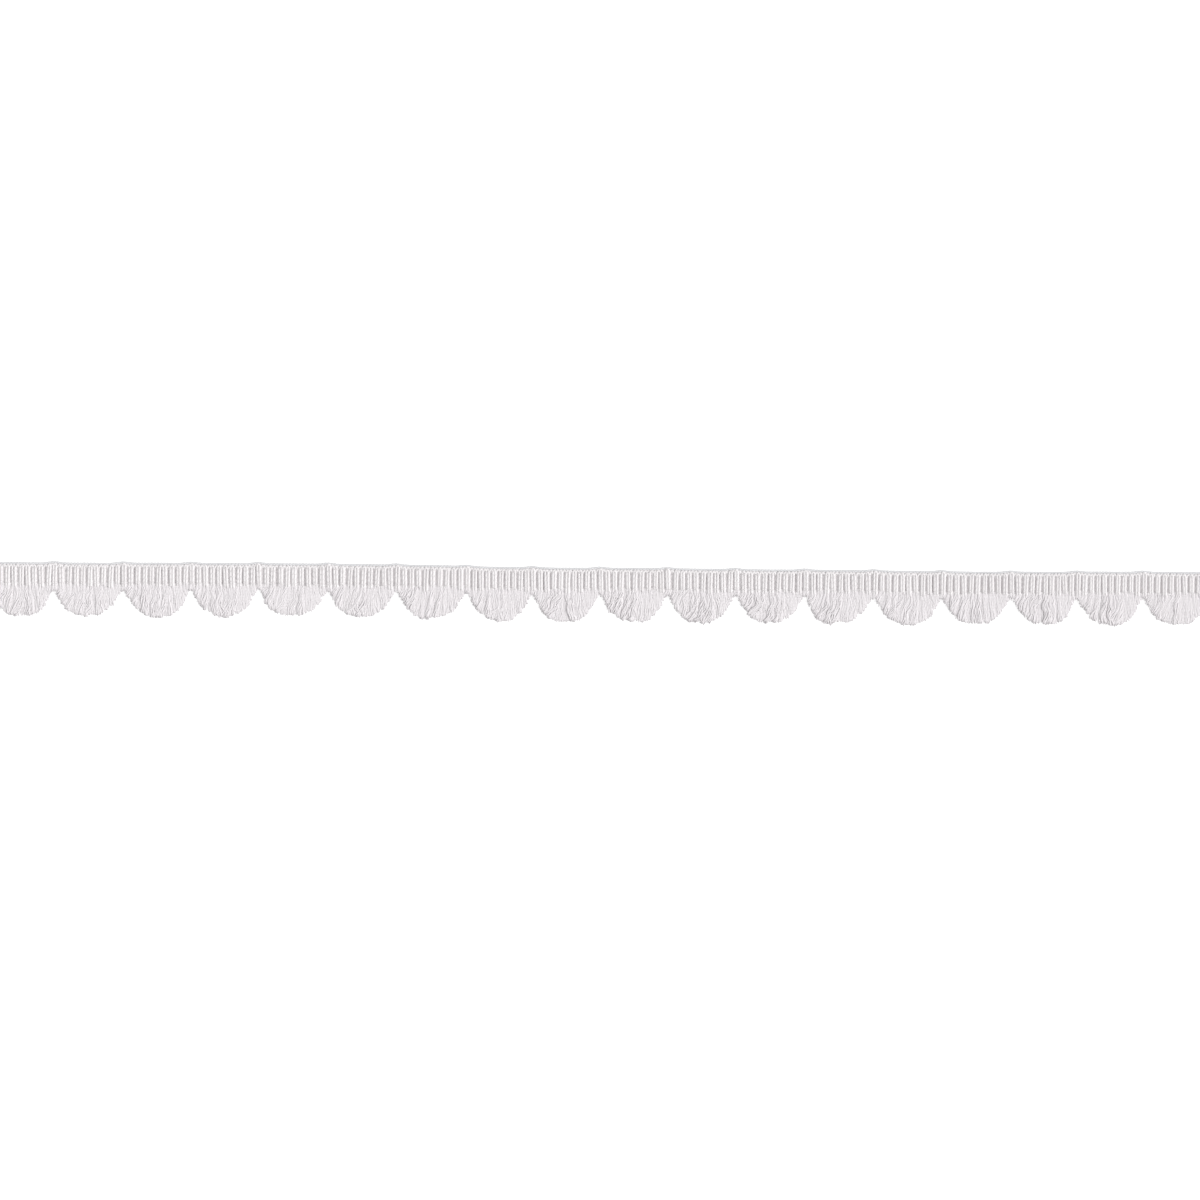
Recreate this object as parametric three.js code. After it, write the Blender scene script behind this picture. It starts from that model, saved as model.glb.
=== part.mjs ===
// Fan edge trim: a cut length of white cotton trimming, lying face up on a flat surface.
// A ribbed woven heading carries a fine cord along its top edge and a row of cut fringe fans below.
// Millimetres. +X runs along the trim, +Y points to the corded top edge, +Z points up from the surface.

import * as THREE from "three";

const { lerp, clamp, smoothstep, seededRandom } = THREE.MathUtils;

// Driving dimensions
const RIBS_PER_FAN = 10; // ribs of paired weft yarn across one fan
const LOCKS_PER_FAN = 16; // locks of cut weft in one fan
const TRIM_DEPTH = 20; // top edge to the tips of a full fan
const HEADING_DEPTH = 8.2; // top edge to the lower edge of the heading
const NOTCH_DEPTH = 10.2; // top edge to the notch between two fans
const YARN_THICKNESS = 1; // one weft yarn
const THICKNESS = 2 * YARN_THICKNESS; // weft in front and weft behind
const CORD_DIAMETER = 1.1;
const CLEARANCE = 0.3; // between neighbouring pieces

// One row for each fan, from the left end to the right end.
// width: notch to notch. longer: how much deeper than TRIM_DEPTH its middle is cut.
// lean: how far its belly lies to the right of its middle, as a share of half its width.
// drift: how far the tips of its middle locks swing to the right.
// sway: how far the whole trim lies above its straight line at that fan.
const FANS = [
  { width: 25.4, longer: 0.3, lean: 0.08, drift: -0.5, sway: -0.25 },
  { width: 25.8, longer: 0.1, lean: -0.08, drift: -1.1, sway: -0.2 },
  { width: 25.4, longer: 0.3, lean: 0.1, drift: 0.3, sway: 0.05 },
  { width: 25.0, longer: 0.1, lean: -0.06, drift: -0.4, sway: 0.2 },
  { width: 26.1, longer: -0.2, lean: -0.03, drift: -0.8, sway: 0.3 },
  { width: 25.4, longer: -0.2, lean: -0.02, drift: 0.4, sway: 0.3 },
  { width: 26.3, longer: 0.0, lean: -0.02, drift: -0.5, sway: 0.2 },
  { width: 24.6, longer: 0.1, lean: 0.06, drift: -0.7, sway: -0.2 },
  { width: 25.0, longer: 0.4, lean: -0.02, drift: 0.0, sway: -0.3 },
  { width: 25.4, longer: 0.4, lean: 0.08, drift: 0.3, sway: -0.1 },
  { width: 25.4, longer: 0.1, lean: 0.0, drift: -1.1, sway: -0.15 },
  { width: 25.8, longer: 0.1, lean: 0.02, drift: -0.6, sway: -0.2 },
  { width: 25.8, longer: 0.3, lean: -0.15, drift: -0.8, sway: -0.1 },
  { width: 25.4, longer: 0.1, lean: 0.08, drift: -0.7, sway: -0.2 },
  { width: 25.8, longer: -0.2, lean: 0.0, drift: 0.3, sway: -0.25 },
  { width: 24.6, longer: -0.2, lean: 0.14, drift: 0.6, sway: -0.05 },
  { width: 24.6, longer: 0.1, lean: 0.13, drift: 0.0, sway: 0.25 },
  { width: 25.4, longer: -0.2, lean: 0.04, drift: -1.0, sway: 0.4 },
];

// Heading: ribs with a groove between each two, rounded over at the top edge
const FIRST_RIB = 0.15; // how far right of its notch a fan's first rib is centred, as a share of a rib
const GROOVE_WIDTH = 0.7;
const GROOVE_HEIGHT = 1.35; // thickness left under a groove
const RIB_UNEVENNESS = 0.12;
const TOP_ROUNDING = 0.55;

// Top edge: the cord rises over the turn of the weft at each notch
const HUMP_RISE = 0.45;
const HUMP_REACH = 2.6;
const CORD_SIDES = 7;
const CORD_STATIONS = [-0.5, -0.2, -0.1, 0, 0.1, 0.2]; // shares of the fan's width from its left notch

// Fans: the cut outline, and the locks that end on it
const BELLY_POWER = 2.8; // a higher power gives a flatter belly
const FAN_FILL = 0.96; // how much of the width from notch to notch a fan fills
const STRIP_DEPTH = 0.8; // the root strip that the locks grow from
const FLARE = 0.1; // how far the locks spread towards their tips
const LOCK_WIDTH = 1.23;
const LOCK_TIP_HEIGHT = 1.25;
const LOCK_TAPER = 0.22; // how far the upper edges of a lock draw in on each side
const SWING_POWER = 1.3; // a higher power keeps a lock straight for longer before it swings out
const THINNING_POWER = 2; // a higher power keeps a lock thick for longer before it thins
const LOCK_UNEVENNESS = { length: 0.45, height: 0.3 };
const WAVE = 0.3; // sideways crimp of the locks
const LONG_LOCK = 6; // a lock longer than this has one more bend
const SEED = 7; // another seed gives another unevenness

// Places along the trim, with its middle at x = 0
const trimLength = FANS.reduce((sum, fan) => sum + fan.width, 0);
const notches = [-trimLength / 2];
for (const fan of FANS) notches.push(notches.at(-1) + fan.width);
const middles = FANS.map((fan, f) => notches[f] + fan.width / 2);

function swayAt(x) {
  const right = middles.findIndex((middle) => middle > x);
  if (right === 0) return FANS[0].sway;
  if (right < 0) return FANS.at(-1).sway;
  const share = smoothstep(x, middles[right - 1], middles[right]);
  return lerp(FANS[right - 1].sway, FANS[right].sway, share);
}

function humpAt(x) {
  const off = Math.min(...notches.map((notch) => Math.abs(x - notch)));
  return HUMP_RISE * Math.exp(-((off / HUMP_REACH) ** 2));
}

// How deep a fan is cut below the top edge, at a share from -1, its left notch, to 1, its right notch.
function outlineDepth(fan, share) {
  const place = clamp(share / FAN_FILL, -1, 1);
  const side = place < fan.lean ? 1 + fan.lean : 1 - fan.lean;
  const fullness = 1 - (Math.abs(place - fan.lean) / side) ** BELLY_POWER;
  return lerp(NOTCH_DEPTH, TRIM_DEPTH + fan.longer, fullness);
}

// An even spread of numbers from -1 to 1, the same on every run.
seededRandom(SEED);
const uneven = () => 2 * seededRandom() - 1;

// A closed solid from points and the polygons that bound it, each anticlockwise as seen from outside.
function solid(points, polygons) {
  const geometry = new THREE.BufferGeometry().setFromPoints(points);
  const fanned = polygons.flatMap(([first, ...rest]) =>
    rest.slice(1).flatMap((corner, k) => [first, rest[k], corner]),
  );
  geometry.setIndex(fanned);
  geometry.computeVertexNormals();
  return geometry;
}

// A closed solid through rings of points. Seen from its last ring, each ring runs anticlockwise.
function loft(rings) {
  const sides = rings[0].length;
  const polygons = [];
  for (let r = 1; r < rings.length; r++) {
    for (let k = 0; k < sides; k++) {
      const next = (k + 1) % sides;
      const [before, after] = [(r - 1) * sides, r * sides];
      polygons.push([before + k, before + next, after + next, after + k]);
    }
  }
  const last = (rings.length - 1) * sides;
  const corners = [...Array(sides).keys()];
  polygons.push(corners.toReversed(), corners.map((k) => last + k));
  return solid(rings.flat(), polygons);
}

// Heading: a flat back, and across its face one rib for each pick of paired weft.
// Each end of the trim is cut through a rib.
function headingGeometry() {
  const ribHeight = () => THICKNESS + RIB_UNEVENNESS * uneven();
  let height = ribHeight();
  const columns = [{ x: notches[0], height }];
  FANS.forEach((fan, f) => {
    const rib = fan.width / RIBS_PER_FAN;
    for (let r = 0; r < RIBS_PER_FAN; r++) {
      const groove = notches[f] + rib * (r + FIRST_RIB + 1 / 2);
      columns.push({ x: groove - GROOVE_WIDTH / 2, height });
      columns.push({ x: groove, height: GROOVE_HEIGHT });
      height = ribHeight();
      columns.push({ x: groove + GROOVE_WIDTH / 2, height });
    }
  });
  columns.push({ x: notches.at(-1), height });
  const rings = columns.map(({ x, height }) => {
    const low = swayAt(x) - HEADING_DEPTH;
    const high = swayAt(x) + humpAt(x) - CORD_DIAMETER - CLEARANCE;
    return [
      new THREE.Vector3(x, low, 0),
      new THREE.Vector3(x, high, 0),
      new THREE.Vector3(x, high, height - TOP_ROUNDING),
      new THREE.Vector3(x, high - TOP_ROUNDING, height),
      new THREE.Vector3(x, low, height),
    ];
  });
  return loft(rings);
}

// Edge cord: it follows the top edge and rises over each notch.
function cordGeometry() {
  const stations = FANS.flatMap((fan, f) => CORD_STATIONS.map((share) => notches[f] + share * fan.width));
  const inside = stations.filter((x) => x > notches[0]);
  const rings = [notches[0], ...inside, notches.at(-1)].map((x) => {
    const y = swayAt(x) + humpAt(x) - CORD_DIAMETER / 2;
    return Array.from({ length: CORD_SIDES }, (_, k) => {
      const turn = (2 * Math.PI * k) / CORD_SIDES;
      const radius = CORD_DIAMETER / 2;
      return new THREE.Vector3(x, y + radius * Math.cos(turn), THICKNESS / 2 + radius * Math.sin(turn));
    });
  });
  return loft(rings);
}

// The middle line of each lock of a fan: where its root leaves the strip and where its tip is cut.
function lockLines(fan, f) {
  const middle = middles[f];
  const half = (fan.width - CLEARANCE) / 2;
  const rootPitch = (2 * half) / LOCKS_PER_FAN;
  const lines = Array.from({ length: LOCKS_PER_FAN }, (_, k) => {
    const share = (2 * k + 1) / LOCKS_PER_FAN - 1;
    const inner = 1 - share ** 2;
    const reach = half - rootPitch / 2;
    const spread = half * share * (1 + FLARE * inner) + fan.drift * inner;
    const offset = clamp(spread, -reach, reach);
    const rootX = middle + half * share;
    const tipX = middle + offset;
    const cut = outlineDepth(fan, offset / half) + LOCK_UNEVENNESS.length * uneven();
    return {
      inner,
      root: new THREE.Vector2(rootX, swayAt(rootX) - HEADING_DEPTH - CLEARANCE - STRIP_DEPTH),
      tip: new THREE.Vector2(tipX, swayAt(tipX) - cut),
    };
  });
  lines.forEach((line, k) => {
    const neighbours = [lines[k - 1], lines[k + 1]].filter(Boolean);
    const room = Math.min(...neighbours.map((other) => Math.abs(other.tip.x - line.tip.x)));
    line.rootWidth = Math.min(LOCK_WIDTH, rootPitch - CLEARANCE);
    line.tipWidth = Math.min(LOCK_WIDTH, room - CLEARANCE);
  });
  return lines;
}

// Fan: a narrow root strip with its locks growing from it, all lying on the surface.
function fanGeometry(fan, f) {
  const points = [];
  const polygons = [];
  const point = (x, y, z) => points.push(new THREE.Vector3(x, y, z)) - 1;

  // Each ring of a lock holds its corners: lower left, lower right, upper right, upper left.
  const locks = lockLines(fan, f).map(({ root, tip, inner, rootWidth, tipWidth }) => {
    const segments = root.distanceTo(tip) > LONG_LOCK ? 3 : 2;
    const rings = [];
    for (let r = 0; r <= segments; r++) {
      const along = r / segments;
      const crimp = WAVE * inner * Math.sin(Math.PI * (2 * along + f)) * along;
      const x = lerp(root.x, tip.x, along ** SWING_POWER) + crimp;
      const y = lerp(root.y, tip.y, along);
      const half = lerp(rootWidth, tipWidth, along) / 2;
      const taper = r === 0 ? 0 : LOCK_TAPER;
      const loose = r === 0 ? 0 : LOCK_UNEVENNESS.height * uneven();
      const height = lerp(THICKNESS, LOCK_TIP_HEIGHT, along ** THINNING_POWER) + loose;
      rings.push([
        point(x - half, y, 0),
        point(x + half, y, 0),
        point(x + half - taper, y, height),
        point(x - half + taper, y, height),
      ]);
    }
    return rings;
  });

  for (const rings of locks) {
    for (let r = 1; r < rings.length; r++) {
      const [lowLeft, lowRight, highRight, highLeft] = rings[r - 1];
      const [nextLowLeft, nextLowRight, nextHighRight, nextHighLeft] = rings[r];
      polygons.push([highLeft, nextHighLeft, nextHighRight, highRight]);
      polygons.push([lowLeft, lowRight, nextLowRight, nextLowLeft]);
      polygons.push([lowRight, highRight, nextHighRight, nextLowRight]);
      polygons.push([lowLeft, nextLowLeft, nextHighLeft, highLeft]);
    }
    polygons.push(rings.at(-1));
  }

  // The strip's front face shows between the roots, and its back lies along the heading.
  const roots = locks.map((rings) => rings[0]);
  for (let k = 1; k < roots.length; k++) {
    const [, leftLow, leftHigh] = roots[k - 1];
    const [rightLow, , , rightHigh] = roots[k];
    polygons.push([leftLow, rightLow, rightHigh, leftHigh]);
  }
  const lowFront = roots.flatMap(([lowLeft, lowRight]) => [lowLeft, lowRight]);
  const highFront = roots.flatMap(([, , highRight, highLeft]) => [highLeft, highRight]);
  const corner = (front, height) => {
    const { x } = points[front];
    return point(x, swayAt(x) - HEADING_DEPTH - CLEARANCE, height);
  };
  const [lowLeft, lowRight] = [corner(lowFront[0], 0), corner(lowFront.at(-1), 0)];
  const [highLeft, highRight] = [corner(lowFront[0], THICKNESS), corner(lowFront.at(-1), THICKNESS)];
  polygons.push([lowLeft, lowRight, ...lowFront.toReversed()]);
  polygons.push([highLeft, ...highFront, highRight]);
  polygons.push([lowRight, lowLeft, highLeft, highRight]);
  polygons.push([lowLeft, lowFront[0], highFront[0], highLeft]);
  polygons.push([lowFront.at(-1), lowRight, highRight, highFront.at(-1)]);
  return solid(points, polygons);
}

// Bleached white cotton: dull, and close to neutral
const headingCotton = new THREE.MeshStandardMaterial({ color: 0xece9ea, roughness: 0.92, metalness: 0 });
const cordCotton = new THREE.MeshStandardMaterial({ color: 0xe7e5e7, roughness: 0.9, metalness: 0 });
const fringeCotton = new THREE.MeshStandardMaterial({ color: 0xf0ecee, roughness: 0.95, metalness: 0 });

function piece(name, geometry, material) {
  const mesh = new THREE.Mesh(geometry, material);
  mesh.name = name;
  return mesh;
}

const trim = new THREE.Group();
trim.add(piece("heading", headingGeometry(), headingCotton));
trim.add(piece("edge_cord", cordGeometry(), cordCotton));
FANS.forEach((fan, f) => {
  const number = String(f + 1).padStart(2, "0");
  trim.add(piece(`fan_${number}`, fanGeometry(fan, f), fringeCotton));
});

// The origin is the middle of the trim's box, on the surface it lies on.
const middle = new THREE.Box3().setFromObject(trim).getCenter(new THREE.Vector3());
trim.children.forEach((mesh) => mesh.position.set(-middle.x, -middle.y, 0));

export default trim;
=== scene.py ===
# Fan edge trim in bleached white cotton, lying face up on a white floor and seen from straight above.
# The frame is in metres. Yarns and weave are sized in millimetres, and MM turns those to metres.

import math
import bpy
import numpy as np
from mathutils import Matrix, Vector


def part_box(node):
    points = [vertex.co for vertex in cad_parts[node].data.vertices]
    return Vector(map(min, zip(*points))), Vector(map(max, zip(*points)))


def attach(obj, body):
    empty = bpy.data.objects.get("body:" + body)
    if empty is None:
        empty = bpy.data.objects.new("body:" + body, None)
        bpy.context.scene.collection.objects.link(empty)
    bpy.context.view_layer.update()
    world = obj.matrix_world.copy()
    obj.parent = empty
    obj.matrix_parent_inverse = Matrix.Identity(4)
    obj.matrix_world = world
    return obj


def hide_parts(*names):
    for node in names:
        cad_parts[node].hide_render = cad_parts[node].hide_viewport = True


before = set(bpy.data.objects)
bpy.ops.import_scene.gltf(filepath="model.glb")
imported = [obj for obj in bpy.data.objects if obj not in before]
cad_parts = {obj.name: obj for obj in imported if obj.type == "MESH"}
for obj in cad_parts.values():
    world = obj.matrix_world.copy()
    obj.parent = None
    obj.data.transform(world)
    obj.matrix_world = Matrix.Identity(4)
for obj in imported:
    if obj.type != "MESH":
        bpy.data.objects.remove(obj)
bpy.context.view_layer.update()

# Heading weft: soft two-ply cotton yarn, laid up and down the heading in hairpins. The two legs of one
# lie side by side as a rib. A second layer fills the gaps from behind, and a third backs the ribs. All
# turn against the edge cord, the first of each fan a little over it, and run on below as the fringe.

MM = 0.001
RIBS_PER_FAN = 10
FIRST_RIB = 0.15  # how far right of its notch a fan's first rib is centred, as a share of a rib
RIB_LEAN = 0.2  # how far to one side a rib's top stands
RIB_JITTER = 0.09
HEADING_DEPTH = 8.2  # top edge to the lower edge of the heading
CORD_DIAMETER = 0.84
YARN_DIAMETER = 1.0
YARN_FLATTENING = 1.08
YARN_UNEVENNESS = 0.03
FRONT_HEIGHT = 1.35  # from the floor to the middle of the front layer's yarns
MIDDLE_HEIGHT = 0.74
MIDDLE_FOOT_HEIGHT = 1.15  # the middle layer comes forward to its feet
BACK_HEIGHT = 0.6
TURN_HEIGHT = 0.95  # the front and middle layers turn side by side
LAYER_HEIGHTS = [FRONT_HEIGHT, MIDDLE_HEIGHT, BACK_HEIGHT]
LAYER_UNEVENNESS = 0.04
LEG_SPREAD = 0.47  # from a rib's middle line to the middle of each leg
LEG_SLACK = 0.02  # how much wider a slack hairpin lies
FOOT_SLACK = 0.35  # and how much lower its feet hang
LEG_CLOSING = 0.12  # how much closer the legs lie at their feet, as a share
LEG_TAIL = 0.6  # how far a leg runs on inside the fringe
LEG_TAIL_THICKNESS = 0.5  # how thick it is at the end of that, as a share
LEG_BEND = 0.7  # the length over which a leg bends to its foot, and to its turn
TURN_POINTS = 5
TURN_TUCK = 0.14  # how far the turns lie over the edge cord
NOTCH_TURN = (0.1, 0.35)  # how far the turn at a notch crosses the cord, as a share of the cord
NOTCH_TURN_RISE = 0.3  # how much higher it would lie if it crossed the whole cord
HUMP_RISE = 0.45  # the top edge rises this much at each notch
HUMP_REACH = 2.6
WEFT_TONES = (0.3, 0.7)  # how light the yarns are, from the shaded colour at 0 to the light one at 1
SLUB_LENGTH = 4
SLUB_TONE = 0.5  # how much lighter a slub is
GROOVE_SHARE = 0.22  # how much of a ply's width is the slope into its groove
FIBRE_RELIEF = 2.2  # how high the tufts of fibre stand, as a multiple of the groove's depth

# One row for each fan from the left end, as in the solids: its width from notch to notch, how much
# deeper than the rest its middle is cut, how far its belly leans right, and how far the trim sways up.
FANS = [
    dict(width=25.4, longer=0.3, lean=0.08, sway=-0.25),
    dict(width=25.8, longer=0.1, lean=-0.08, sway=-0.2),
    dict(width=25.4, longer=0.3, lean=0.1, sway=0.05),
    dict(width=25.0, longer=0.1, lean=-0.06, sway=0.2),
    dict(width=26.1, longer=-0.2, lean=-0.03, sway=0.3),
    dict(width=25.4, longer=-0.2, lean=-0.02, sway=0.3),
    dict(width=26.3, longer=0.0, lean=-0.02, sway=0.2),
    dict(width=24.6, longer=0.1, lean=0.06, sway=-0.2),
    dict(width=25.0, longer=0.4, lean=-0.02, sway=-0.3),
    dict(width=25.4, longer=0.4, lean=0.08, sway=-0.1),
    dict(width=25.4, longer=0.1, lean=0.0, sway=-0.15),
    dict(width=25.8, longer=0.1, lean=0.02, sway=-0.2),
    dict(width=25.8, longer=0.3, lean=-0.15, sway=-0.1),
    dict(width=25.4, longer=0.1, lean=0.08, sway=-0.2),
    dict(width=25.8, longer=-0.2, lean=0.0, sway=-0.25),
    dict(width=24.6, longer=-0.2, lean=0.14, sway=-0.05),
    dict(width=24.6, longer=0.1, lean=0.13, sway=0.25),
    dict(width=25.4, longer=-0.2, lean=0.04, sway=0.4),
]
widths = np.array([fan["width"] for fan in FANS])
sways = np.array([fan["sway"] for fan in FANS])
notches = np.concatenate([[0], np.cumsum(widths)]) - widths.sum() / 2
middles = notches[:-1] + widths / 2
chance = np.random.default_rng(18)


def ease(value, start=0, end=1):
    """A smooth step from 0 at start to 1 at end."""
    share = np.clip((value - start) / (end - start), 0, 1)
    return share * share * (3 - 2 * share)


def sway(x):
    """How far up the trim sways at x, eased from the middle of one fan to the middle of the next."""
    right = np.clip(np.searchsorted(middles, x), 1, len(FANS) - 1)
    left = right - 1
    return sways[left] + (sways[right] - sways[left]) * ease(x, middles[left], middles[right])


def hump(x):
    """How far the top edge rises at x, close to a notch."""
    off = np.abs(np.subtract.outer(x, notches)).min(axis=-1)
    return HUMP_RISE * np.exp(-((off / HUMP_REACH) ** 2))


# The straight top edge lies this far up the frame's Y, so that the cord's highest hump meets the
# solid's.
top_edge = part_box("edge_cord")[1][1] / MM - max(sway(notches) + hump(notches))


def rib_centres(f):
    """Where the ribs of fan f lie. The first is at its left notch, except at the cut end of the trim."""
    rib = widths[f] / RIBS_PER_FAN
    return notches[f] + rib * (np.arange(0 if f else 1, RIBS_PER_FAN) + FIRST_RIB)


def hairpin(centre, height, foot_height, turn_height, over):
    """The middle line of one hairpin of weft: up its left leg, round its turn and down its right leg.
    over is how far its turn crosses the edge cord, from 0 to 1."""
    slack = chance.normal()
    spread = LEG_SPREAD + LEG_SLACK * slack
    low = sway(centre) - HEADING_DEPTH - FOOT_SLACK * slack
    cord_foot = sway(centre) + hump(centre) - CORD_DIAMETER * (1 - over)
    high = cord_foot + TURN_TUCK - YARN_DIAMETER / 2 - spread
    climb = np.array([low - LEG_TAIL, low, low + LEG_BEND, (low + high) / 2, high - LEG_BEND])
    leg = np.full(len(climb), spread)
    turn = np.linspace(math.pi, 0, TURN_POINTS)
    x = np.concatenate([-leg, spread * np.cos(turn), leg])
    y = np.concatenate([climb, high + spread * np.sin(turn), climb[::-1]])
    x *= 1 - LEG_CLOSING * np.clip((high - y) / (high - low), 0, 1)
    lean = RIB_LEAN * chance.normal() * (y - low) / HEADING_DEPTH
    z = np.select([y <= low, y < high], [foot_height, height], turn_height + NOTCH_TURN_RISE * over)
    z = z + LAYER_UNEVENNESS * chance.normal()
    return np.column_stack([centre + x + lean, top_edge + y, z])


def ring_frames(path):
    """A sideways and an upward direction at each point of a path, carried along it without twisting."""
    tangents = np.gradient(path, axis=0)
    tangents /= np.linalg.norm(tangents, axis=1)[:, None]
    side = np.cross(tangents[0], (0, 0, 1))
    sides = []
    for tangent in tangents:
        side = side - tangent * np.dot(side, tangent)
        side = side / np.linalg.norm(side)
        sides.append(side)
    sides = np.array(sides)
    return sides, np.cross(sides, tangents)


def yarn_mesh(name, yarns, sides):
    """Joins yarns into one mesh of closed tubes. Each yarn is a path, its half width and half height at
    each point, and its tone. The UV map holds the share around a yarn and the millimetres along it."""
    points, faces, uvs, tones = [], [], [], []
    turn = np.arange(sides) * 2 * math.pi / sides
    corners = list(range(sides))
    first = 0
    for path, half_width, half_height, tone in yarns:
        side, up = ring_frames(path)
        across = np.cos(turn)[None, :, None] * side[:, None, :] * half_width[:, None, None]
        above = np.sin(turn)[None, :, None] * up[:, None, :] * half_height[:, None, None]
        points.append((path[:, None, :] + across + above).reshape(-1, 3))
        tones.append(np.full(len(path) * sides, tone))
        along = np.concatenate([[0], np.cumsum(np.linalg.norm(np.diff(path, axis=0), axis=1))])
        for ring in range(len(path) - 1):
            here = first + ring * sides
            there = here + sides
            start, end = along[ring], along[ring + 1]
            for k in corners:
                beside = (k + 1) % sides
                faces.append((here + k, there + k, there + beside, here + beside))
                low, high = k / sides, (k + 1) / sides
                uvs += [low, start, low, end, high, end, high, start]
        for ring, order in ((0, corners), (len(path) - 1, corners[::-1])):
            faces.append(tuple(first + ring * sides + k for k in order))
            uvs += [value for k in order for value in (k / sides, along[ring])]
        first += len(path) * sides
    mesh = bpy.data.meshes.new(name)
    mesh.from_pydata(np.concatenate(points) * MM, [], faces)
    mesh.uv_layers.new(name="yarn").data.foreach_set("uv", uvs)
    mesh.attributes.new("tone", "FLOAT", "POINT").data.foreach_set("value", np.concatenate(tones))
    mesh.shade_smooth()
    return mesh


def add_piece(name, mesh, material, nodes):
    """Puts a mesh in the scene with its material, riding on the trim, in place of the named CAD nodes."""
    piece = bpy.data.objects.new(name, mesh)
    bpy.context.collection.objects.link(piece)
    mesh.materials.append(material)
    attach(piece, "root")
    if nodes:
        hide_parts(*nodes)


def linear(colour):
    """An sRGB hex colour as linear red, green, blue and alpha."""
    parts = [int(colour[k : k + 2], 16) / 255 for k in (1, 3, 5)]
    return [p / 12.92 if p <= 0.04045 else ((p + 0.055) / 1.055) ** 2.4 for p in parts] + [1.0]


def add_node(tree, kind, inputs=None, **settings):
    """Adds a node with its settings. Each input is set to a value, or linked from a node's output."""
    node = tree.nodes.new(kind)
    for name, value in settings.items():
        setattr(node, name, value)
    for socket, value in (inputs or {}).items():
        if isinstance(value, bpy.types.NodeSocket):
            tree.links.new(value, node.inputs[socket])
        else:
            node.inputs[socket].default_value = value
    return node


def twisted_cotton(name, light, shade, plies, twist, groove, fibre):
    """Dull spun cotton: plies wound round each other with a soft groove between them, uneven in tone,
    with tufts of fibre and a faint bloom at grazing angles. Each yarn's colour lies between the shade and
    light colours by its tone, and is painted down to the shade colour in the grooves between the plies,
    as painted shade. twist is the length of one turn, groove the depth between the plies, and fibre the
    size of a tuft along X, Y and Z, all in millimetres."""
    material = bpy.data.materials.new(name)
    material.use_nodes = True
    tree = material.node_tree
    tree.nodes.clear()
    yarn = add_node(tree, "ShaderNodeUVMap", uv_map="yarn")
    place = add_node(tree, "ShaderNodeSeparateXYZ", {0: yarn.outputs[0]})
    around = add_node(tree, "ShaderNodeMath", {0: place.outputs[0], 1: plies}, operation="MULTIPLY")
    wound = add_node(
        tree,
        "ShaderNodeMath",
        {0: place.outputs[1], 1: plies / twist, 2: around.outputs[0]},
        operation="MULTIPLY_ADD",
    )
    # Folded at the middle of each ply, this is the way to the nearest groove.
    fold = add_node(tree, "ShaderNodeMath", {0: wound.outputs[0], 1: 0.5}, operation="PINGPONG")
    # 0 in a groove and 1 on a ply's crown: it raises the bump, and it paints shade into the grooves.
    crown_relief_and_groove_shade = add_node(
        tree,
        "ShaderNodeMapRange",
        {0: fold.outputs[0], 1: 0.0, 2: GROOVE_SHARE, 3: 0.0, 4: 1.0},
        interpolation_type="SMOOTHERSTEP",
    )
    where = add_node(tree, "ShaderNodeTexCoord")
    slubs = add_node(
        tree,
        "ShaderNodeTexNoise",
        {"Vector": where.outputs["Object"], "Scale": 1 / (SLUB_LENGTH * MM), "Detail": 3.0},
    )
    # Single fibres are too fine to show, so they are drawn as tufts.
    tufts = add_node(
        tree,
        "ShaderNodeVectorMath",
        {0: where.outputs["Object"], 1: [1 / (size * MM) for size in fibre]},
        operation="MULTIPLY",
    )
    fibres = add_node(
        tree,
        "ShaderNodeTexNoise",
        {"Vector": tufts.outputs[0], "Scale": 1.0, "Detail": 3.0},
    )
    tone = add_node(tree, "ShaderNodeAttribute", attribute_name="tone")
    mottle = add_node(
        tree,
        "ShaderNodeMath",
        {0: slubs.outputs[0], 1: SLUB_TONE, 2: tone.outputs["Fac"]},
        operation="MULTIPLY_ADD",
    )
    # Painted shade: each yarn's tone is taken down to nothing in the grooves between the plies, so the
    # colour falls to the shade colour there.
    tone_and_groove_shade = add_node(
        tree,
        "ShaderNodeMath",
        {0: mottle.outputs[0], 1: crown_relief_and_groove_shade.outputs[0]},
        operation="MULTIPLY",
    )
    colour = add_node(
        tree,
        "ShaderNodeMix",
        {"Factor": tone_and_groove_shade.outputs[0], "A": linear(shade), "B": linear(light)},
        data_type="RGBA",
    )
    relief = add_node(
        tree,
        "ShaderNodeMath",
        {0: fibres.outputs[0], 1: FIBRE_RELIEF, 2: crown_relief_and_groove_shade.outputs[0]},
        operation="MULTIPLY_ADD",
    )
    bump = add_node(
        tree,
        "ShaderNodeBump",
        {"Height": relief.outputs[0], "Distance": groove * MM, "Strength": 1.0},
    )
    shader = add_node(
        tree,
        "ShaderNodeBsdfPrincipled",
        {
            "Base Color": colour.outputs[2],
            "Normal": bump.outputs[0],
            "Roughness": 0.92,
            "IOR": 1.45,
            "Specular IOR Level": 0.2,
            "Sheen Weight": 0.2,
            "Sheen Roughness": 0.6,
        },
    )
    add_node(tree, "ShaderNodeOutputMaterial", {"Surface": shader.outputs[0]})
    return material


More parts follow.
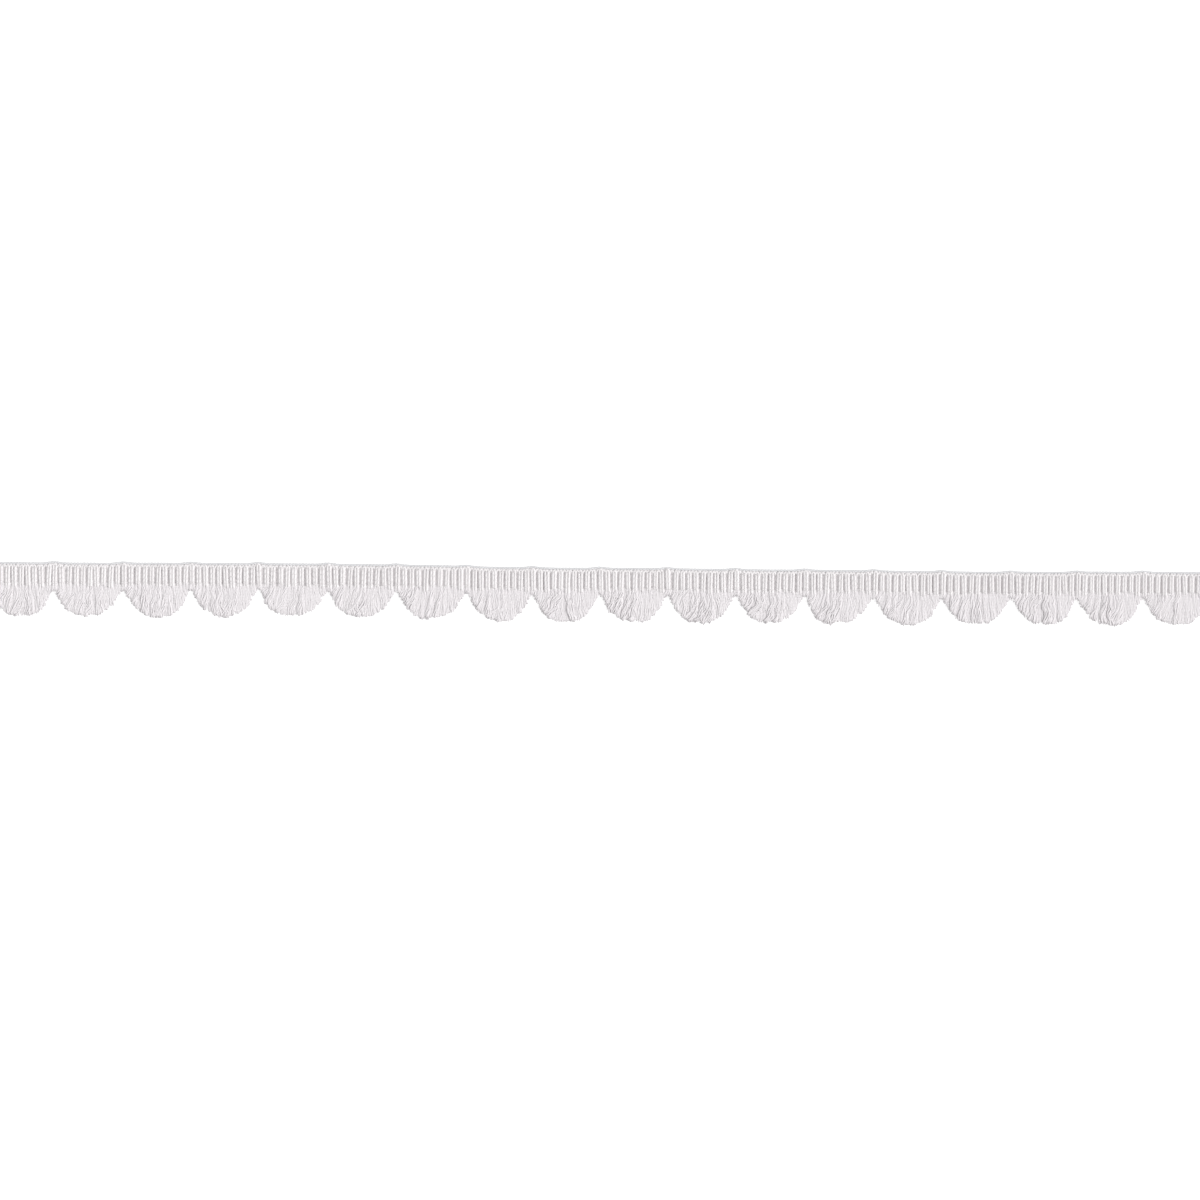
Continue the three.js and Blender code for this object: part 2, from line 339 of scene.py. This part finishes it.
# Each end of weft is kept for the fringe: its layer's height, the point where it leaves the heading,
# and -1 for a left leg or 1 for a right one.
weft = []
weft_ends = [[] for fan in FANS]
for f in range(len(FANS)):
    rib = widths[f] / RIBS_PER_FAN
    for centre in rib_centres(f):
        at_notch = centre - notches[f] < rib / 2
        over = chance.uniform(*NOTCH_TURN) if at_notch else 0
        shifted = centre + RIB_JITTER * chance.normal()
        layers = [
            hairpin(shifted, FRONT_HEIGHT, FRONT_HEIGHT, TURN_HEIGHT, over),
            hairpin(centre + rib / 2, MIDDLE_HEIGHT, MIDDLE_FOOT_HEIGHT, TURN_HEIGHT, 0),
            hairpin(centre, BACK_HEIGHT, BACK_HEIGHT, BACK_HEIGHT, 0),
        ]
        for path, layer_height in zip(layers, LAYER_HEIGHTS):
            thickness = 1 + YARN_UNEVENNESS * (chance.normal() + chance.normal(size=len(path)))
            half = YARN_DIAMETER / 2 * thickness
            half[[0, -1]] *= LEG_TAIL_THICKNESS
            weft.append((path, half * YARN_FLATTENING, half, chance.uniform(*WEFT_TONES)))
            weft_ends[f] += [(layer_height, path[1], -1), (layer_height, path[-2], 1)]

# Two plies of bleached cotton, softly twisted: dull white, with a slanting groove between the plies.
weft_cotton = twisted_cotton(
    "twisted_weft_cotton",
    "#F4F1F2",
    "#E9E5E6",
    plies=2,
    twist=3.6,
    groove=0.028,
    fibre=(0.15, 0.9, 0.15),
)
weft_mesh = yarn_mesh("heading_weft", weft, sides=6)
add_piece("heading_weft", weft_mesh, weft_cotton, ["heading"])

# Heading warp: fine hard-twisted cotton threads that run the length of the heading and bind the ribs.
# Each passes over one rib and under the next, with its neighbours the other way about, and a close pair
# holds the ribs at the foot. Where the weave is slack, the threads stand a little off the ribs.

WARP_DIAMETER = 0.24
WARP_DEPTHS = [2.1, 3.1, 4.1, 5.1, 6.1, 7.1, 7.65, 7.9]  # below the top edge
WARP_OVER = (1.72, 2.0)  # height over a rib, where the weave is tight and where it is slack
WARP_UNDER = WARP_DIAMETER / 2
WARP_END_HEIGHT = 1.0
WARP_SHOULDER = 0.75  # how far to each side of a rib's middle a thread stays level
WARP_UNEVENNESS = 0.03
WARP_TONES = (0.4, 0.7)
SLACK_SPAN = 4  # ribs between one slackness and the next

centres = np.concatenate([rib_centres(f) for f in range(len(FANS))])
spans = np.arange(0, len(centres) + SLACK_SPAN, SLACK_SPAN)
slackness = np.interp(np.arange(len(centres)), spans, chance.uniform(size=len(spans)))
warp = []
for w, depth in enumerate(WARP_DEPTHS):
    places = [(notches[0], WARP_END_HEIGHT)]
    for n, centre in enumerate(centres):
        is_over = (n + w) % 2 == 0
        height = np.interp(slackness[n], (0, 1), WARP_OVER) if is_over else WARP_UNDER
        places += [(centre - WARP_SHOULDER, height), (centre, height), (centre + WARP_SHOULDER, height)]
    places.append((notches[-1], WARP_END_HEIGHT))
    along, heights = np.array(places).T
    line = top_edge + sway(along) - depth + WARP_UNEVENNESS * chance.normal(size=len(along))
    half = np.full(len(along), WARP_DIAMETER / 2)
    warp.append((np.column_stack([along, line, heights]), half, half, chance.uniform(*WARP_TONES)))

# Two plies of fine cotton, twisted hard: smoother and tighter than the weft.
warp_cotton = twisted_cotton(
    "hard_twisted_warp_cotton",
    "#F5F2F3",
    "#E5E1E2",
    plies=2,
    twist=1.0,
    groove=0.02,
    fibre=(0.5, 0.1, 0.1),
)
add_piece("heading_warp", yarn_mesh("heading_warp", warp, sides=5), warp_cotton, [])

# Edge cord: three plies of cotton twisted together into a fine firm cord, laid along the top of the
# heading. The weft turns against it, and it rises over the turn at each notch.

CORD_PLIES = 3
CORD_PLY_DIAMETER = 0.44
CORD_PLY_OFFSET = (CORD_DIAMETER - CORD_PLY_DIAMETER) / 2
CORD_TWIST = 3.6  # length of one turn
CORD_STEPS = 10  # points to a turn
CORD_HEIGHT = 1.0
CORD_TONE = 0.5

along = np.append(np.arange(notches[0], notches[-1], CORD_TWIST / CORD_STEPS), notches[-1])
middle_line = top_edge + sway(along) + hump(along) - CORD_DIAMETER / 2
half = np.full(len(along), CORD_PLY_DIAMETER / 2)
cord = []
for ply in range(CORD_PLIES):
    angle = 2 * math.pi * (along / CORD_TWIST + ply / CORD_PLIES)
    y = middle_line + CORD_PLY_OFFSET * np.cos(angle)
    z = CORD_HEIGHT + CORD_PLY_OFFSET * np.sin(angle)
    cord.append((np.column_stack([along, y, z]), half, half, CORD_TONE))

# Firm three-ply cotton: each ply is a tight yarn of its own, with fine slanting grooves. Its colours are
# darker than the weft's: painted shade for the dark rim along the trim's top edge.
cord_cotton = twisted_cotton(
    "firm_cord_cotton",
    "#EEEEF0",
    "#DEDEE0",
    plies=3,
    twist=1.6,
    groove=0.03,
    fibre=(0.5, 0.15, 0.15),
)
add_piece("top_cord", yarn_mesh("top_cord", cord, sides=6), cord_cotton, ["edge_cord"])

# Fringe fans: the lower ends of the weft, cut to a scallop between notches. Below the heading the yarns
# are free, so they fan out, wave and open into their plies. The front layer lies in locks, loose on the
# left of each fan and calm on the right, and the layers under it lie evenly.

TRIM_DEPTH = 20.0  # top edge to the tips of a full fan
NOTCH_DEPTH = 10.2
BELLY_POWER = 2.8  # a higher power gives a flatter belly
FAN_FILL = 0.96  # how much of the width from notch to notch a fan fills
FAN_ANGLE = 26  # how far the outermost yarns swing out, in degrees
CUT_UNEVENNESS = 0.15
LOCKS_PER_FAN = 7
LOCK_JITTER = 0.5
CALM_RIGHT = 0.85  # how much calmer a fan's right side is than its left
CALM_SPAN = (0, 0.5)  # where it grows calm, with the fan's middle at 0 and its right notch at 1
ROOT_OVERLAP = 0.8  # the plies start this far up inside the heading
ROOT_HELD = 0.5  # and the weave holds them together for this long
ROOT_SPREAD = 0.14
ROOT_JITTER = 0.12
TRACE_STEP = 0.2
TRACE_SPARE = 2  # how much further than the length of the fringe a yarn is traced
FEWEST_TRACED = 4

# How the yarns of a lock lie, in degrees and millimetres, for a loose lock unless it says calm. BEND,
# LOOSE_LONGER and STRAY_SWING give an average and a spread, and the other pairs the least and the most.
SWING = 6
BEND = (-4, 13)
CURLS = [0, 0, -25, 18]
CALM_WAVE = (2, 5)
LOOSE_WAVE = 24  # the most that is added to the calm one
WAVELENGTH = (5, 9)
GATHER = (0.2, 0.6)  # how far yarns draw in to the middle of their lock, as a share of the way
LIFT = 0.1
CALM_LONGER = 0.55  # how far past the scallop the yarns reach
LOOSE_LONGER = (0.25, 0.35)
STRAYS_PER_FAN = 3
STRAY_SWING = (-14, 10)
STRAY_LIFT = 0.08

# How the yarns of one lock differ
YARN_SWING = 1
YARN_BEND = 2
YARN_PHASE = 0.7  # radians
YARN_CURL = (0.6, 1.4)  # as a share of the lock's own
YARN_LIFT = 0.03

# Where each of these sets in and where it is full, below the place where the weave lets go
SPREAD_SPAN = (0, 1)
SETTLE_SPAN = (0, 1)
SWING_SPAN = (0, 3)
WAVE_SPAN = (0, 2)
BEND_SPAN = (3, 8)
CURL_SPAN = (5, 9)
GATHER_SPAN = (0, 5)
LIFT_SPAN = (0, 4)
BLOOM_SPAN = (0, 1)
WANDER_SPAN = (0, 3)

# How a yarn's plies lie
PLIES = 5
PLY_STEP = 1.1
FEWEST_PLY_STEPS = 3
PLY_HALF_WIDTH = 0.24
PLY_HALF_HEIGHT = 0.15
PLY_APART = 0.26
PLY_BLOOM = 0.16  # how much further apart they spring where the heading lets go
PLY_OPENING = 0.14  # and how much more by the tips
PLY_SWELLING = 0.15  # how much wider they are by the tips, as a share
PLY_TWISTS = (0.8, 1.2)  # how much they turn, as a share of their yarn's turning
PLY_SHIFT = 0.15  # how far out of turn they lie, as a share of the way round to the next
PLY_STRAYING = 0.3  # how much more or less they open by the tips, as a share
PLY_WANDER = 0.2
WANDER_LENGTHS = (4, 8)
ROOT_FULLNESS = 0.13  # how much thicker they are at the root
FULLNESS_LENGTH = 2
FREE_TWIST = 6.0  # length of one turn at the root, and twice that at the tips
FREE_HEIGHT = 1.25
TIP_HEIGHT = 0.7
NESTING = (0.1, 0.28)  # how much of the layers' heights is left below the heading and further down
NESTING_REACH = 7
FLOOR_CLEARANCE = 0.02
FRINGE_TONES = (0.3, 0.75)

# These have a value for a calm lock and one for a loose lock
PLY_FLATNESS = (0.1, 0.3)
TIP_TAPER = (0.7, 0.3)
TIP_UNEVENNESS = (0.7, 0.2)
NESTING_SHARE = (0.3, 1)

free_length = TRIM_DEPTH - HEADING_DEPTH


def outline_depth(fan, share):
    """How deep a fan is cut below the top edge, from its left notch at -1 to its right notch at 1."""
    share = np.clip(share / FAN_FILL, -1, 1)
    side = np.where(share < fan["lean"], 1 + fan["lean"], 1 - fan["lean"])
    fullness = 1 - (np.abs(share - fan["lean"]) / side) ** BELLY_POWER
    return NOTCH_DEPTH + (TRIM_DEPTH + fan["longer"] - NOTCH_DEPTH) * fullness


def fringe_lock(centre, looseness):
    """How the yarns of one lock lie. Swing, bend and curl are to the right."""
    return dict(
        centre=centre,
        looseness=looseness,
        swing=looseness * SWING * chance.normal(),
        bend=looseness * chance.normal(*BEND),
        wave=chance.uniform(*CALM_WAVE) + looseness * chance.uniform(0, LOOSE_WAVE),
        wavelength=chance.uniform(*WAVELENGTH),
        phase=chance.uniform(0, 2 * math.pi),
        curl=looseness * chance.choice(CURLS),
        gather=chance.uniform(*GATHER),
        lift=looseness * LIFT * chance.normal(),
        longer=(1 - looseness) * CALM_LONGER + looseness * chance.normal(*LOOSE_LONGER),
    )


def traced(f, root, leg, lock, stray):
    """The way a free yarn of fan f takes from the heading down to the cut: the length so far, x and y
    at each step. stray is how far it swings out of its lock, in degrees."""
    half = widths[f] / 2
    share = (root[0] - middles[f]) / half
    inner = 1 - share**2
    along = np.arange(0, free_length + TRACE_SPARE, TRACE_STEP)
    free = np.maximum(along - ROOT_HELD, 0)
    swing = FAN_ANGLE * share + inner * (lock["swing"] + stray) + YARN_SWING * chance.normal()
    bend = inner * (lock["bend"] + YARN_BEND * chance.normal())
    phase = lock["phase"] + YARN_PHASE * chance.normal()
    wave = inner * lock["wave"] * np.sin(2 * math.pi * free / lock["wavelength"] + phase)
    gathered = lock["gather"] * (middles[f] + half * lock["centre"] - root[0])
    spread = ROOT_SPREAD * leg + ROOT_JITTER * chance.normal()
    curl = inner * lock["curl"] * chance.uniform(*YARN_CURL)
    angle = swing * ease(free, *SWING_SPAN) + wave * ease(free, *WAVE_SPAN)
    angle += bend * ease(free, *BEND_SPAN) + curl * ease(free, *CURL_SPAN)
    angle = np.radians(angle)
    x = root[0] + spread * ease(free, *SPREAD_SPAN) + gathered * ease(free, *GATHER_SPAN)
    x += np.cumsum(np.sin(angle)) * TRACE_STEP
    y = root[1] - top_edge + ROOT_OVERLAP - np.cumsum(np.cos(angle)) * TRACE_STEP
    cut = outline_depth(FANS[f], (x - middles[f]) / half) + lock["longer"]
    cut += CUT_UNEVENNESS * chance.normal()
    outside = sway(x) - y > cut
    steps = max(np.argmax(outside), FEWEST_TRACED) if outside.any() else len(along)
    return along[:steps], x[:steps], y[:steps]


def free_plies(f, layer_height, root, leg, lock, stray):
    """The plies of one cut end of weft, each a path with its half width, half height and tone."""
    along, x, y = traced(f, root, leg, lock, stray)
    flatness, taper, unevenness, nesting_share = [
        np.interp(lock["looseness"], (0, 1), pair)
        for pair in (PLY_FLATNESS, TIP_TAPER, TIP_UNEVENNESS, NESTING_SHARE)
    ]
    free = np.maximum(along - ROOT_HELD, 0)
    settled = FREE_HEIGHT + (TIP_HEIGHT - FREE_HEIGHT) * ease(free, 0, free_length)
    nesting = np.interp(free, (0, NESTING_REACH), NESTING) * nesting_share
    settled += nesting * (layer_height - MIDDLE_HEIGHT) + YARN_LIFT * chance.normal()
    settled += (STRAY_LIFT * (stray != 0) + lock["lift"]) * ease(free, *LIFT_SPAN)
    z = root[2] + (settled - root[2]) * ease(free, *SETTLE_SPAN)
    points = max(round(along[-1] / PLY_STEP), FEWEST_PLY_STEPS) + 1
    station = np.linspace(0, along[-1], points)
    path = np.column_stack([np.interp(station, along, way) for way in (x, y + top_edge, z)])
    side, up = ring_frames(path)
    let_go = station - ROOT_HELD
    opened = ease(station, 0, free_length)
    apart = PLY_APART + PLY_BLOOM * ease(let_go, *BLOOM_SPAN) + PLY_OPENING * opened
    turn = chance.uniform(0, 2 * math.pi) - 2 * math.pi * station / (FREE_TWIST * (1 + opened))
    half_width = PLY_HALF_WIDTH * (1 + PLY_SWELLING * opened)
    half_height = PLY_HALF_HEIGHT + ROOT_FULLNESS * (1 - ease(station, 0, FULLNESS_LENGTH))
    half_width[-1] *= 1 - taper
    half_height[-1] *= 1 - taper
    plies = []
    for k in range(PLIES):
        around = turn * chance.uniform(*PLY_TWISTS)
        around += 2 * math.pi * (k + PLY_SHIFT * chance.normal()) / PLIES
        reach = apart * (1 + chance.uniform(-PLY_STRAYING, PLY_STRAYING) * opened)
        sideways = chance.uniform(0, 2 * math.pi)
        sideways = sideways + 2 * math.pi * station / chance.uniform(*WANDER_LENGTHS)
        wander = PLY_WANDER * ease(let_go, *WANDER_SPAN) * np.sin(sideways)
        across = side * (reach * np.cos(around) + wander)[:, None]
        above = up * (flatness * reach * np.sin(around))[:, None]
        ply = path + across + above
        ply[-1] += (ply[-2] - ply[-1]) * chance.uniform(0, unevenness)
        ply[:, 2] = np.maximum(ply[:, 2], half_height + FLOOR_CLEARANCE)
        plies.append((ply, half_width, half_height, chance.uniform(*FRINGE_TONES)))
    return plies


# The same cotton with its twist let go: softer, with shallower grooves and finer tufts. Its colours are a
# little darker than the weft's: painted shade for the fringe lying lower than the heading.
fringe_cotton = twisted_cotton(
    "loosened_fringe_cotton",
    "#F1EDEF",
    "#E7E3E5",
    plies=2,
    twist=2.4,
    groove=0.02,
    fibre=(0.12, 0.9, 0.12),
)
for f in range(len(FANS)):
    jitter = LOCK_JITTER * chance.normal(size=LOCKS_PER_FAN)
    places = (2 * np.arange(LOCKS_PER_FAN) + 1 + jitter) / LOCKS_PER_FAN - 1
    locks = [fringe_lock(place, 1 - CALM_RIGHT * ease(place, *CALM_SPAN)) for place in places]
    strands = []
    for layer_height, root, leg in weft_ends[f]:
        share = (root[0] - middles[f]) / (widths[f] / 2)
        nearest = min(locks, key=lambda lock: abs(lock["centre"] - share))
        if layer_height == FRONT_HEIGHT:
            lock = nearest
            is_stray = chance.uniform() < STRAYS_PER_FAN / (2 * RIBS_PER_FAN)
            stray = chance.normal(*STRAY_SWING) if is_stray else 0
        else:
            lock = fringe_lock(share, 0) | dict(longer=nearest["longer"])
            stray = 0
        strands += free_plies(f, layer_height, root, leg, lock, stray)
    name = f"fringe_{f + 1:02d}"
    fringe_mesh = yarn_mesh(name, strands, sides=4)
    add_piece(name, fringe_mesh, fringe_cotton, [f"fan_{f + 1:02d}"])

# Camera: straight above the trim and framed as the photograph is, turned a little so that the trim
# slopes down to the right.

PHOTO_SIZE = 1200
PHOTO_SCALE = 0.3732  # millimetres to one pixel of the photograph
PHOTO_CENTRE = (0.66, -12.32)  # from the middle of the top edge to the middle of the photograph
LENS = 100
SENSOR = 36
SLOPE = 0.572  # degrees

camera_data = bpy.data.cameras.new("camera")
camera_data.lens = LENS
camera_data.sensor_width = SENSOR
camera = bpy.data.objects.new("camera", camera_data)
bpy.context.collection.objects.link(camera)
distance = PHOTO_SIZE * PHOTO_SCALE * LENS / SENSOR
centre_x, centre_y = PHOTO_CENTRE
camera.location = (centre_x * MM, (top_edge + centre_y) * MM, (distance + FRONT_HEIGHT) * MM)
camera.rotation_euler = (0, 0, math.radians(SLOPE))
bpy.context.scene.camera = camera

# Floor and light: a glowing white sweep under a bright even dome, with one soft key from the right. The
# floor sends no light back up into the trim, so that its edges show dark against the white, as in the
# photograph.

FLOOR_SIZE = 12  # metres
FLOOR_GLOW = 0.45
DOME_STRENGTH = 0.6
KEY_STRENGTH = 2.2
KEY_SOFTNESS = 50  # degrees across
KEY_HEIGHT = 38  # degrees above the floor

bpy.ops.mesh.primitive_plane_add(size=FLOOR_SIZE)
floor = bpy.context.object
floor.name = "floor"
# Matt white paper that glows a little: an even white with no gloss.
paper = bpy.data.materials.new("white_paper")
paper.use_nodes = True
paper_shader = paper.node_tree.nodes["Principled BSDF"]
paper_shader.inputs["Base Color"].default_value = linear("#FAFAFA")
paper_shader.inputs["Roughness"].default_value = 0.9
paper_shader.inputs["Specular IOR Level"].default_value = 0.0
paper_shader.inputs["Emission Color"].default_value = linear("#FFFFFF")
paper_shader.inputs["Emission Strength"].default_value = FLOOR_GLOW
floor.data.materials.append(paper)
floor.visible_diffuse = False

world = bpy.data.worlds.new("dome")
world.use_nodes = True
background = world.node_tree.nodes["Background"]
background.inputs["Color"].default_value = linear("#FFFFFF")
background.inputs["Strength"].default_value = DOME_STRENGTH
bpy.context.scene.world = world

key_data = bpy.data.lights.new("key", "SUN")
key_data.energy = KEY_STRENGTH
key_data.angle = math.radians(KEY_SOFTNESS)
key = bpy.data.objects.new("key", key_data)
bpy.context.collection.objects.link(key)
key.rotation_euler = (0, math.radians(90 - KEY_HEIGHT), 0)

bpy.context.scene.view_settings.view_transform = "Standard"
